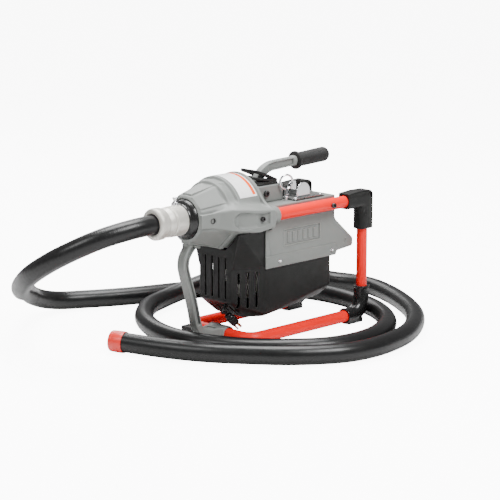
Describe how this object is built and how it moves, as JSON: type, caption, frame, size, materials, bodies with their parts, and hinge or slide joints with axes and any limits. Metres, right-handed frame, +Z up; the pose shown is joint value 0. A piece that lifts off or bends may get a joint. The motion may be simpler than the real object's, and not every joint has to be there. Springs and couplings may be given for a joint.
{
  "type": "drain snake machine",
  "caption": "Sectional drain cable machine: belt-driven hollow spindle with a lever clutch, cast nose, tubular floor frame, motor in a shroud and a coiled guide hose.",
  "frame": {"origin": "on the floor, under the front cross tube's centre, on the machine's middle plane: the centre of the front foot's floor face", "axes": "+X along the spindle from the guide hose to the cable outlet, +Y to the side away from the switch, +Z up"},
  "size_m": [1.0352, 0.8869, 0.4177],
  "materials": {
    "grey_paint": "grey enamel on castings and folded sheet, satin",
    "red_paint": "bright red powder coat on the frame tubes, semi-gloss",
    "black_plastic": "black moulded plastic, lightly textured",
    "soft_black": "black rubber, matte",
    "hose_vinyl": "black ribbed flexible hose, glossy",
    "red_plastic": "red moulded plastic",
    "cast_metal": "plain die-cast metal, dull",
    "steel": "machined steel",
    "bright_steel": "bright plated steel",
    "zinc": "zinc-plated sheet and screws",
    "black_steel": "blackened screw heads",
    "brass": "brass blades, dull",
    "label_film": "blank white film with a plain orange band, no lettering",
    "copper": "laminated core with copper-coloured end turns"
  },
  "bodies": {
    "machine": {"clutch_housing": "grey_paint", "clutch_spring": "steel", "cover_screw_front_left": "zinc", "cover_screw_front_right": "zinc", "cover_screw_rear_left": "zinc", "cover_screw_rear_right": "zinc", "dome_label": "label_film", "drive_belt": "soft_black", "drive_cover": "grey_paint", "front_bearing": "steel", "front_leg": "grey_paint", "guide_hose": "hose_vinyl", "hose_adapter": "cast_metal", "hose_end_cap": "red_plastic", "lever_bellows": "soft_black", "lever_bracket": "grey_paint", "lever_pivot_bolt": "black_steel", "lower_elbow_left": "black_plastic", "lower_elbow_right": "black_plastic", "lower_frame_tube": "red_paint", "lug_screw_left": "black_steel", "lug_screw_right": "black_steel", "motor_front_plate": "cast_metal", "motor_rear_plate": "cast_metal", "motor_shroud": "black_plastic", "motor_stator": "copper", "nose_bushing": "soft_black", "outlet_guide": "steel", "plug_blades": "brass", "power_cord": "hose_vinyl", "power_plug": "black_plastic", "rail_screw_left": "black_steel", "rail_screw_right": "black_steel", "rear_bearing": "steel", "rear_post_left": "red_paint", "rear_post_right": "red_paint", "rubber_foot_left": "soft_black", "rubber_foot_right": "soft_black", "switch_boot": "soft_black", "switch_gasket": "soft_black", "switch_guard": "bright_steel", "switch_plate": "zinc", "upper_elbow_left": "black_plastic", "upper_elbow_right": "black_plastic", "upper_rail_left": "red_paint", "upper_rail_right": "red_paint"},
    "lever": {"clutch_lever": "grey_paint", "lever_grip": "soft_black"},
    "sleeve": {"clutch_sleeve": "steel"},
    "jaw_1": {"clutch_jaw_1": "steel"},
    "jaw_2": {"clutch_jaw_2": "steel"},
    "jaw_3": {"clutch_jaw_3": "steel"},
    "motor_shaft": {"motor_rotor": "steel", "motor_pulley": "cast_metal", "cooling_fan": "black_plastic"},
    "spindle": {"spindle_tube": "steel", "spindle_pulley": "cast_metal"},
    "switch_toggle": {"toggle_switch": "black_plastic"},
    "key": {"coupling_key": "bright_steel"},
    "plunger": {"adapter_plunger": "bright_steel"}
  },
  "joints": [
    {"name": "motor_spin", "type": "hinge", "parent": "machine", "child": "motor_shaft", "pos_m": [0.15, 0, 0.148], "axis": [1, 0, 0], "continuous": true},
    {"name": "spindle_spin", "type": "hinge", "parent": "machine", "child": "spindle", "pos_m": [0.15, 0, 0.302], "axis": [1, 0, 0], "continuous": true},
    {"name": "lever_pull", "type": "hinge", "parent": "machine", "child": "lever", "pos_m": [0.1065, 0, 0.3385], "axis": [0, 1, 0], "range_deg": [0, 13.75]},
    {"name": "sleeve_slide", "type": "slide", "parent": "spindle", "child": "sleeve", "axis": [-1, 0, 0], "range_m": [0, 0.0085]},
    {"name": "jaw_1_close", "type": "slide", "parent": "spindle", "child": "jaw_1", "axis": [0, 0, 1], "range_m": [0, 0.0042]},
    {"name": "jaw_2_close", "type": "slide", "parent": "spindle", "child": "jaw_2", "axis": [0, -0.866, -0.5], "range_m": [0, 0.0042]},
    {"name": "jaw_3_close", "type": "slide", "parent": "spindle", "child": "jaw_3", "axis": [0, 0.866, -0.5], "range_m": [0, 0.0042]},
    {"name": "switch_rock", "type": "hinge", "parent": "machine", "child": "switch_toggle", "pos_m": [0.212, -0.047, 0.319], "axis": [0, 1, 0], "range_deg": [-12, 12]},
    {"name": "key_lift", "type": "slide", "parent": "machine", "child": "key", "axis": [0, 0, 1], "range_m": [0, 0.055]},
    {"name": "plunger_pull", "type": "slide", "parent": "machine", "child": "plunger", "axis": [0, 0, 1], "range_m": [0, 0.006]}
  ],
  "couplings": [
    {"joint": "spindle_spin", "follows": "motor_spin", "ratio": 0.27273},
    {"joint": "sleeve_slide", "follows": "lever_pull", "m_per_rad": 0.034},
    {"joint": "jaw_1_close", "follows": "lever_pull", "m_per_rad": 0.0166},
    {"joint": "jaw_2_close", "follows": "lever_pull", "m_per_rad": 0.0166},
    {"joint": "jaw_3_close", "follows": "lever_pull", "m_per_rad": 0.0166}
  ]
}
